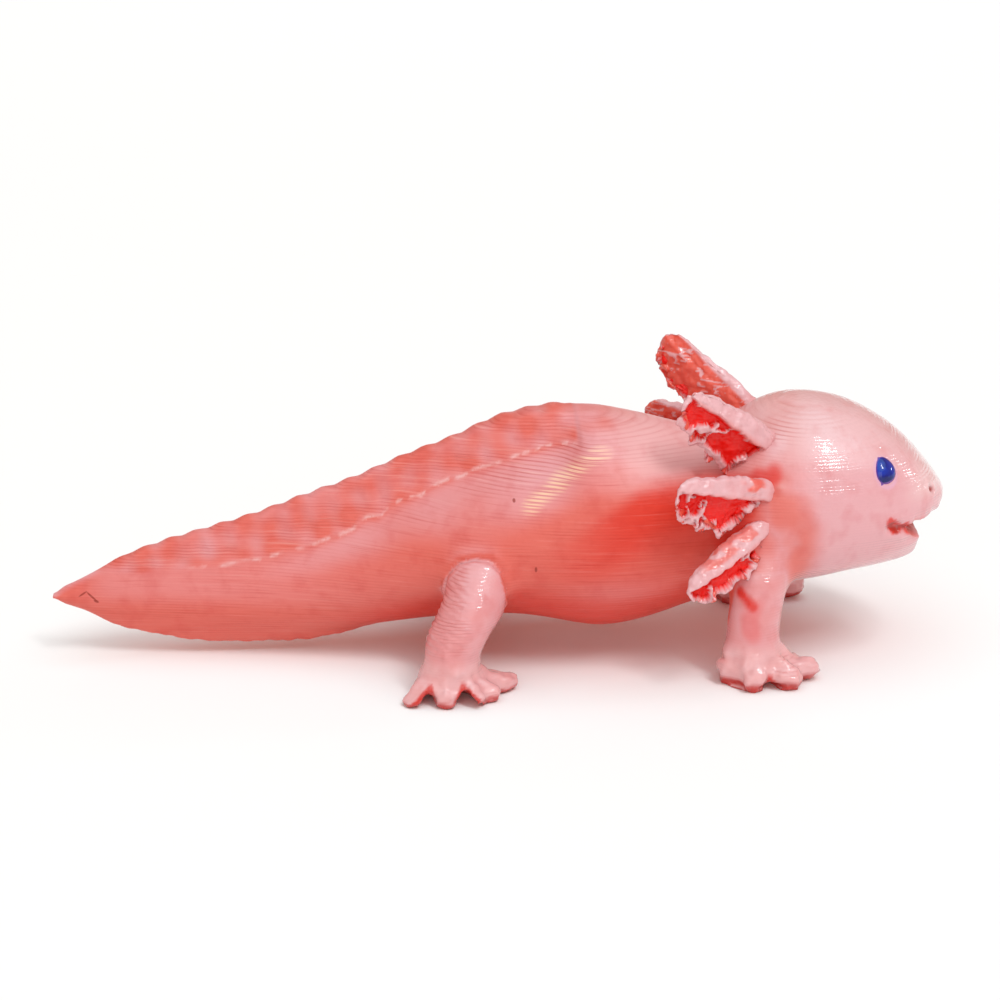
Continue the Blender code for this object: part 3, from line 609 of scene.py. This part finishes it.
def buildGill(side, level):
    name = f"gill_{side}_{level}"
    seed = 3 + len(name) + (20 if side == "left" else 0)
    gill = nodeCopy("painted_" + name, name)
    applyModifier(gill, "REMESH", mode="VOXEL", voxel_size=gillPlan["voxel"] * mm)
    root, along, hang, out, length = gillFrame(side, level)
    places, normals, edges = readMesh(gill)
    places = smoothed(places, edges, 10)
    local = places - root
    t, h = local @ along / length, local @ hang    # along the stalk from 0 to 1, and down the fringe in mm
    bins = np.clip(np.round(t * 40).astype(int), 0, 40)
    keys = np.unique(bins)
    reach = np.interp(t, keys / 40, [h[bins == k].max() for k in keys])    # where the rim lies
    stalk = 0.65 - 0.4 * t + 0.25 * rough(places, 1.0, seed)               # where the hollow starts
    depth = (h - stalk) / np.maximum(reach - stalk, 0.5)                   # 0 at the stalk, 1 at the rim
    facing = normals @ out
    outer, inner = ease(facing, 0.0, 0.3), ease(-facing, 0.0, 0.3)
    rim = ease(depth + 0.28 * rough(places, 0.8, seed + 1), 0.86, 0.92)
    ends = ease(t, 0.12, 0.17) * (1 - ease(t + 0.06 * rough(places, 0.8, seed + 2), 0.96, 0.99))
    hollow = ease(depth, -0.02, 0.1) * (1 - rim) * ends
    flat = np.stack([t * length, h * 0.8, np.full(len(t), seed * 1.7)], axis=1)
    near, second = cells(flat + 0.25 * rough(places, 0.8, seed + 3)[:, None], gillPlan["pit"], seed)
    wall = (1 - ease(second - near, 0.04, 0.13)) * ease(rough(places, 1.5, seed + 4), 0.1, 0.24)
    push = -gillPlan["cup"] * hollow * outer * (1 - 0.75 * wall)
    near, second = cells(places * (0.3, 0.3, 1.5), 0.8, seed + 5)
    scribble = (1 - ease(second - near, 0.03, 0.14)) * ease(rough(places, 1.1, seed + 6), -0.05, 0.15)
    fringe = ease(h, 0.2, 0.8)
    push += inner * fringe * (0.12 * scribble - 0.12)
    push += gillPlan["lumps"] * (rough(places, 1.0, seed + 7) + 0.6 * rough(places, 0.45, seed + 8))
    push -= gillPlan["taper"][level] * ease(t, 0.2, 0.7) * (1 - ease(depth, -0.1, 0.1))
    places = places + normals * push[:, None]
    edgeShare = np.maximum(ease(depth, 0.6, 1.0), 0.5 * ease(t, 0.85, 1.0))
    wave = rough(places * (1, 0.4, 1), 0.75, seed + 9) + 0.15
    places += (hang * 0.8 - along * 0.2) * (gillPlan["ragged"] * wave * edgeShare)[:, None]
    places -= out * (0.35 * rim * ends)[:, None]
    places[:, 2] += gillPlan["leftRaise"] * ((side, level) == ("left", "upper")) * ease(t, 0.4, 1.0)
    gap, inward = skinDistance(places)
    foot = (1 - ease(gap, 0.35, 0.7)) * (1 - ease(t, 0.35, 0.5))
    melt = (1 - ease(t, 0.1, 0.38)) * gillPlan["melt"]
    places += inward * (gap * melt + gillPlan["sink"] * foot)[:, None]
    writePlaces(gill, smoothed(places, edges, 1, keepSize=True))
    pits = hollow * outer * (1 - 0.92 * ease(wall, 0.3, 0.6))
    # painted shade: a deeper wash on the stalk's lower side
    under = outer * ease(h, 0.0, 0.7) * (1 - ease(depth, 0.0, 0.15)) * 0.6
    back = inner * ease(h, -0.85, -0.55) * (1 - 0.85 * ease(scribble, 0.3, 0.6))
    stem = 0.35 * (1 - ease(t, 0.05, 0.3))
    first, last, strength = gillPlan["stains"][level]
    stain = strength * ease(-h, 0.0, 0.5) * between(t, first, first + 0.08, last - 0.06, last + 0.06)
    stain *= ease(rough(places * (0.6, 1, 1.6), 0.8, seed + 10), -0.25, 0.1)
    addAttribute(gill, "redPaint", np.maximum(ease(pits, 0.35, 0.6), 0.35 * inner * ease(depth, 0.9, 1.0)))
    addAttribute(gill, "washPaintAndShade", np.max([back, under, stem, stain], axis=0))
    addAttribute(gill, "glossCoat", 0.75 - 0.5 * pits)
    return gill


gills = {(side, level): buildGill(side, level) for side in ("left", "right")
         for level in ("upper", "middle", "lower")}
print("gills:", sum(len(g.data.vertices) for g in gills.values()), "points")

eye = {
    "place": (33.6, 7.3, 18.9),
    "size": (1.12, 1.28, 0.6),     # mm, half width, half height and rise of the drop of paint
    "sink": 0.16,
    "lean": -0.26,                 # radians, keeps the drop upright on the sloping cheek
    "belly": 0.07,                 # how much fuller its lower half is
    "spike": (2.2, 0.16),          # direction in radians and length of the stray point at the top
    "drip": (-1.9, 0.34),          # the same for the one at the bottom
    "strayWidth": 0.09,            # radians
    "blues": ("#06125f", "#1236a4"),
    "layers": [("#74429a", "rimPaint")],
}


def buildEye(side):
    flip = 1 if side == "left" else -1
    place = Vector(eye["place"]) * mm
    place.y *= flip
    spot = skinTree.find_nearest(place)[0]
    out = sum((found[1] for found in skinTree.find_nearest_range(spot, 1.3 * mm)), Vector()).normalized()
    up = (Vector((0, 0, 1)) - out * out.z).normalized()
    ahead = up.cross(out) if up.cross(out).x > 0 else out.cross(up)
    bpy.ops.mesh.primitive_uv_sphere_add(segments=72, ring_count=40, radius=mm)
    drop = bpy.context.object
    drop.name = drop.data.name = f"painted_eye_{side}"
    places = readMesh(drop)[0]
    angle = np.arctan2(places[:, 1], places[:, 0])
    stray = np.zeros(len(places))
    for way, length in (eye["spike"], eye["drip"]):
        apart = np.angle(np.exp(1j * (angle - way)))
        stray += length * mound(apart, eye["strayWidth"])
    radius = np.hypot(places[:, 0], places[:, 1])
    low = 1 - ease(places[:, 2], 0.15, 0.45)
    spread = 1 + stray * low * radius + 0.05 * np.sin(3 * angle + 1) * radius
    half, tall, rise = eye["size"]
    wide = places[:, 0] * half * spread * (1 - eye["belly"] * places[:, 1])
    high = (places[:, 1] + 0.14 * np.abs(places[:, 1])) * tall * spread
    turn, slant = math.cos(eye["lean"]), math.sin(eye["lean"])
    raised = places[:, 2] * rise - eye["sink"]
    local = np.stack([wide * turn - high * slant, wide * slant + high * turn, raised], axis=1)
    axes = np.array([ahead, up, out])
    for point in local:    # the drop lies on the skin, which curves under it
        above = spot + (ahead * point[0] + up * point[1] + out * 2) * mm
        point[2] += (skinTree.ray_cast(above, -out)[0] - spot).dot(out) / mm
    writePlaces(drop, np.array(spot) / mm + local @ axes)
    if np.linalg.det(axes) < 0:
        bpy.ops.object.mode_set(mode="EDIT")
        bpy.ops.mesh.select_all(action="SELECT")
        bpy.ops.mesh.flip_normals()
        bpy.ops.object.mode_set(mode="OBJECT")
    bias = 0.22 * ease(np.cos(angle + 0.7), 0.2, 0.9)
    addAttribute(drop, "rimPaint", 1 - ease(places[:, 2], 0.34 + bias, 0.42 + bias))
    return drop, np.array(spot) / mm


mouth = {    # sizes in mm
    "swell": 0.3,    # fills the gap between the lips
    "back": 1.3,     # how far the paint lies behind them
    "voxel": 0.15,
    "lumps": 0.15,
    "red": "#a42412",
}


def buildMouth():
    lining = nodeCopy("painted_mouth", "mouth_lining")
    places, normals, _ = readMesh(lining)
    writePlaces(lining, places + normals * mouth["swell"] - (mouth["back"], 0, 0))
    applyModifier(lining, "REMESH", mode="VOXEL", voxel_size=mouth["voxel"] * mm)
    places, normals, edges = readMesh(lining)
    places = smoothed(places, edges, 6) + normals * (mouth["lumps"] * rough(places, 0.7, 30))[:, None]
    writePlaces(lining, places)
    return lining


mouthPaint = buildMouth()
print("mouth:", len(mouthPaint.data.vertices), "points")
liningTree = BVHTree.FromObject(nodes["mouth_lining"], bpy.context.evaluated_depsgraph_get())
eyes = {side: buildEye(side) for side in ("left", "right")}
print("eyes placed at", [list(np.round(spot, 2)) for drop, spot in eyes.values()])

paintSkin()
print("skin painted")


enamelPlan = {    # the paint of skin and gills: colours, and sizes and depths in mm
    "noises": {    # size, stretch, turn in radians, detail
        "wander": (7.0, (1.0, 1.0, 1.0), 0.0, 0.0),
        "covered": (2.4, (0.35, 0.35, 2.0), 0.0, 2.0),
        "streaks": (0.9, (0.16, 0.16, 5.5), 0.0, 3.0),
        "clouds": (1.8, (1.0, 1.0, 1.0), 0.0, 3.0),
        "smears": (0.6, (0.12, 0.12, 1.0), 0.0, 1.0),
        "hairs": (0.34, (1.0, 1.0, 0.22), 0.5, 1.0),
    },
    "wobble": 2.2,        # radians that the printed lines wander
    "grooveEdge": 1.6,    # how sharply the paint ends beside a groove
    "ranges": {    # of what, from which low and high value, and to which
        "lines": ("covered", 0.4, 0.62, 0.05, 1.0),             # where paint has not filled the grooves
        "beadTops": ("relief", 0.45, 0.8, 0.0, 1.0),
        "paleHairs": ("streaks", 0.56, 0.8, 0.0, 1.0),
        "paleLines": ("lineCoat", 0.25, 0.7, 0.1, 0.6),
        "darkHairs": ("streaks", 0.42, 0.22, 0.0, 0.38),
        "blotches": ("clouds", 0.5, 0.75, 0.0, 0.35),
        "dragged": ("streaks", 0.38, 0.5, 0.0, 0.75),
        "glossLines": ("smears", 0.4, 0.6, 0.25, 1.0),
    },
    "tints": [    # colour, how it mixes, and the parts that its share is the product of
        # darker in the grooves between the layers
        ("#d98478", "MULTIPLY", ("groove", "lineCoat", "lines")),
        ("#f3c0b8", "MIX", ("paleHairs", "dry", "paleLines")),
        ("#dd8378", "MULTIPLY", ("darkHairs", "dry")),
        ("#ecaaa6", "MULTIPLY", ("blotches",)),
        # painted highlight: cream on the bead tops along the upper flank
        ("#f2cda8", "MIX", ("paintedHighlight", "beadTops", "dragged")),
    ],
    "bumps": {    # what the printed lines show through, their depth, then the paint's own grain and its depth
        "Normal": (("lineCoat", "lines"), 0.045, "dimples", 0.06),
        "Coat Normal": (("glossLines",), 0.036, "hairs", 0.032),    # breaks each light into short strokes
    },
    "sockets": {"Coat Roughness": 0.07, "Roughness": 0.4, "IOR": 1.45, "Specular IOR Level": 0.35},
}


def layered(tree, colour, layers):    # colours over one another, each where its attribute says
    for code, name in layers:
        share = addNode(tree, "Attribute", out="Fac", attribute_name=name)
        colour = addNode(tree, "Mix", {0: share, 6: colour, 7: code}, out=2, data_type="RGBA")
    return colour


def layerRelief(tree, place, wander):    # rounded beads one layer high, from 0 in the groove to 1
    height = addNode(tree, "SeparateXYZ", {0: place}, out=2)
    shift = addNode(tree, "Math", {0: wander, 1: enamelPlan["wobble"]}, operation="MULTIPLY")
    scale = math.pi / (layerHeight * mm)
    turns = addNode(tree, "Math", {0: height, 1: scale, 2: shift}, operation="MULTIPLY_ADD")
    wave = addNode(tree, "Math", {0: turns}, operation="SINE")
    return addNode(tree, "Math", {0: wave}, operation="ABSOLUTE")


def enamel(name, piece, addFlecks=None):    # gloss paint: darker in the grooves between the layers, catches sharp lights
    material = bpy.data.materials.new(name)
    material.use_nodes = True
    tree = material.node_tree
    add = partial(addNode, tree)
    place = add("TexCoord", out="Object")
    parts = {key: add("Attribute", out="Fac", attribute_name=key)
             for key in ("glossCoat", "lineCoat", "paintedHighlight")}
    noises = {"dimples": (piece["grain"], (1.0, 1.0, 1.0), 0.0, 2.0), **enamelPlan["noises"]}
    for key, (size, stretch, turn, detail) in noises.items():
        scaled = add("Mapping", {"Vector": place, "Rotation": (0, turn, 0), "Scale": stretch})
        parts[key] = add("TexNoise", {"Vector": scaled, "Scale": 1 / (size * mm), "Detail": detail})
    parts["relief"] = layerRelief(tree, place, parts["wander"])
    for key, (source, *ends) in enamelPlan["ranges"].items():
        parts[key] = add("MapRange", {0: parts[source], **dict(enumerate(ends, 1))})
    furrow = add("Math", {0: 1.0, 1: parts["relief"]}, operation="SUBTRACT")
    parts["groove"] = add("Math", {0: furrow, 1: enamelPlan["grooveEdge"]}, operation="POWER")
    parts["dry"] = add("Math", {0: 1.0, 1: parts["glossCoat"]}, operation="SUBTRACT")    # thin paint
    colour = layered(tree, piece["pink"], piece["layers"])
    if addFlecks:
        colour = addFlecks(tree, place, colour)
    for code, blend, (first, *others) in enamelPlan["tints"]:
        share = parts[first]
        for key in others:
            share = add("Math", {0: share, 1: parts[key]}, operation="MULTIPLY")
        colours = {0: share, 6: colour, 7: code}
        colour = add("Mix", colours, out=2, data_type="RGBA", blend_type=blend)
    shader = tree.nodes["Principled BSDF"]
    for socket, (keys, lineDepth, grain, depth) in enamelPlan["bumps"].items():
        lines = parts["relief"]
        for key in keys:
            lines = add("Math", {0: lines, 1: parts[key]}, operation="MULTIPLY")
        ridges = add("Bump", {"Distance": lineDepth * mm, "Height": lines})
        bumps = add("Bump", {"Distance": depth * mm, "Height": parts[grain], "Normal": ridges})
        tree.links.new(bumps, shader.inputs[socket])
    tree.links.new(colour, shader.inputs["Base Color"])
    tree.links.new(parts["glossCoat"], shader.inputs["Coat Weight"])
    for socket, value in enamelPlan["sockets"].items():
        shader.inputs[socket].default_value = value
    return material


def plainMaterial(name, code, roughness=0.25):
    material = bpy.data.materials.new(name)
    material.use_nodes = True
    shader = material.node_tree.nodes["Principled BSDF"]
    shader.inputs["Base Color"].default_value = hexColour(code)
    shader.inputs["Roughness"].default_value = roughness
    return material


def eyeMaterial():    # deep blue gloss, a mirror for the lights, with a ring where it mixed with the pink
    material = plainMaterial("gloss_enamel_blue", "#1c3596", 0.06)
    tree = material.node_tree
    place = addNode(tree, "TexCoord", out="Object")
    mottled = addNode(tree, "TexNoise", {"Vector": place, "Scale": 1 / (1.3 * mm), "Detail": 2.0})
    share = addNode(tree, "MapRange", {0: mottled, 1: 0.4, 2: 0.65})
    deep, bright = eye["blues"]
    colour = addNode(tree, "Mix", {0: share, 6: deep, 7: bright}, out=2, data_type="RGBA")
    colour = layered(tree, colour, eye["layers"])
    tree.links.new(colour, tree.nodes["Principled BSDF"].inputs["Base Color"])
    return material


def dress(piece, material):
    piece.data.materials.clear()
    piece.data.materials.append(material)


dress(skin, enamel("gloss_enamel_pink", body, addFlecks))
gillPaint = enamel("gloss_enamel_gill", gillPlan)
for gill in gills.values():
    dress(gill, gillPaint)
bluePaint = eyeMaterial()
for drop, spot in eyes.values():
    dress(drop, bluePaint)
dress(mouthPaint, plainMaterial("gloss_enamel_red", mouth["red"]))    # dark, with a dull gleam deep inside
print("materials dressed")

pieces = [(skin, fleshNodes, "pink_enamel")]
pieces += [(gill, [f"gill_{side}_{level}"], "gill_enamel") for (side, level), gill in gills.items()]
pieces += [(drop, [f"eye_{side}"], "blue_enamel") for side, (drop, spot) in eyes.items()]
pieces.append((mouthPaint, ["mouth_lining"], "red_enamel"))
for piece, replaced, slot in pieces:
    useOnly(piece)
    bpy.ops.object.shade_smooth()
    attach(piece, "root")
    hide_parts(*replaced)

studio = {
    "target": (0.0, 0.0, 14.2), "distance": 213.2, "lens": 85.0,    # mm
    "yaw": 3.0, "elevation": 20.0,                                  # degrees
    "paper": "#f6f6f6",
    "fill": 0.56, "fillTint": (1.0, 0.51, 0.41),                    # light from all round
    "top": 0.5, "topTint": (0.39, 0.92, 1.0), "topWay": (0.05, -0.2, 0.95), "topAngle": 80,
    "boxes": [    # name, azimuth and height in degrees, distance, width and length in m, brightness
        ("key_light", 36, 58, 3.0, 0.4, 1.3, 18.0), ("wide_light", 36, 58, 3.0, 2.2, 2.2, 0.22),
        ("side_light", 100, 18, 3.0, 0.2, 0.3, 24.0),
        ("front_light", -10, 14, 3.0, 2.4, 2.4, 1.1)],
    "back": ((0.0, 0.6, 0.35), 0.5, 0.3),    # place and width in m, brightness
}


def buildCamera():
    yaw, tilt = math.radians(studio["yaw"]), math.radians(studio["elevation"])
    look = Vector((math.sin(yaw) * math.cos(tilt), math.cos(yaw) * math.cos(tilt), -math.sin(tilt)))
    data = bpy.data.cameras.new("camera")
    data.lens = studio["lens"]
    data.sensor_width = 36.0
    data.clip_start = 0.01
    camera = bpy.data.objects.new("camera", data)
    scene.collection.objects.link(camera)
    camera.location = (Vector(studio["target"]) - look * studio["distance"]) * mm
    camera.rotation_euler = look.to_track_quat("-Z", "Y").to_euler()
    scene.camera = camera


def addLamp(name, kind, place, way, **settings):    # way points from the lamp's target back to the lamp
    light = bpy.data.lights.new(name, kind)
    for key, value in settings.items():
        setattr(light, key, value)
    lamp = bpy.data.objects.new(name, light)
    scene.collection.objects.link(lamp)
    lamp.location = place
    lamp.rotation_euler = (-Vector(way)).to_track_quat("-Z", "Y").to_euler()


def addSoftbox(name, place, way, width, length, brightness):
    addLamp(name, "AREA", place, way, shape="RECTANGLE", size=width, size_y=length,
            energy=brightness * math.pi * width * length)


def buildStudio():
    bpy.ops.mesh.primitive_plane_add(size=4.0, location=(0, 0, 0))
    floor = bpy.context.object
    floor.name = "floor"
    paper = plainMaterial("matt_paper", studio["paper"], 0.9)    # soft white all over, with no gleam
    paper.node_tree.nodes["Principled BSDF"].inputs["Specular IOR Level"].default_value = 0.1
    dress(floor, paper)
    world = bpy.data.worlds.new("studio")
    world.use_nodes = True
    scene.world = world
    background = world.node_tree.nodes["Background"]
    background.inputs["Color"].default_value = studio["fillTint"] + (1,)
    background.inputs["Strength"].default_value = studio["fill"]
    addLamp("top_light", "SUN", (0, 0, 1), studio["topWay"], energy=studio["top"] * math.pi,
            color=studio["topTint"], angle=math.radians(studio["topAngle"]))
    for name, azimuth, height, distance, width, length, brightness in studio["boxes"]:
        turn, rise = math.radians(azimuth), math.radians(height)
        way = Vector((math.sin(turn) * math.cos(rise), -math.cos(turn) * math.cos(rise), math.sin(rise)))
        addSoftbox(name, way * distance, way, width, length, brightness)
    place, width, brightness = studio["back"]
    addSoftbox("back_light", place, (0, 0, 1), width, width, brightness)
    scene.view_settings.view_transform = "Standard"


buildCamera()
buildStudio()
print("camera and studio set up")
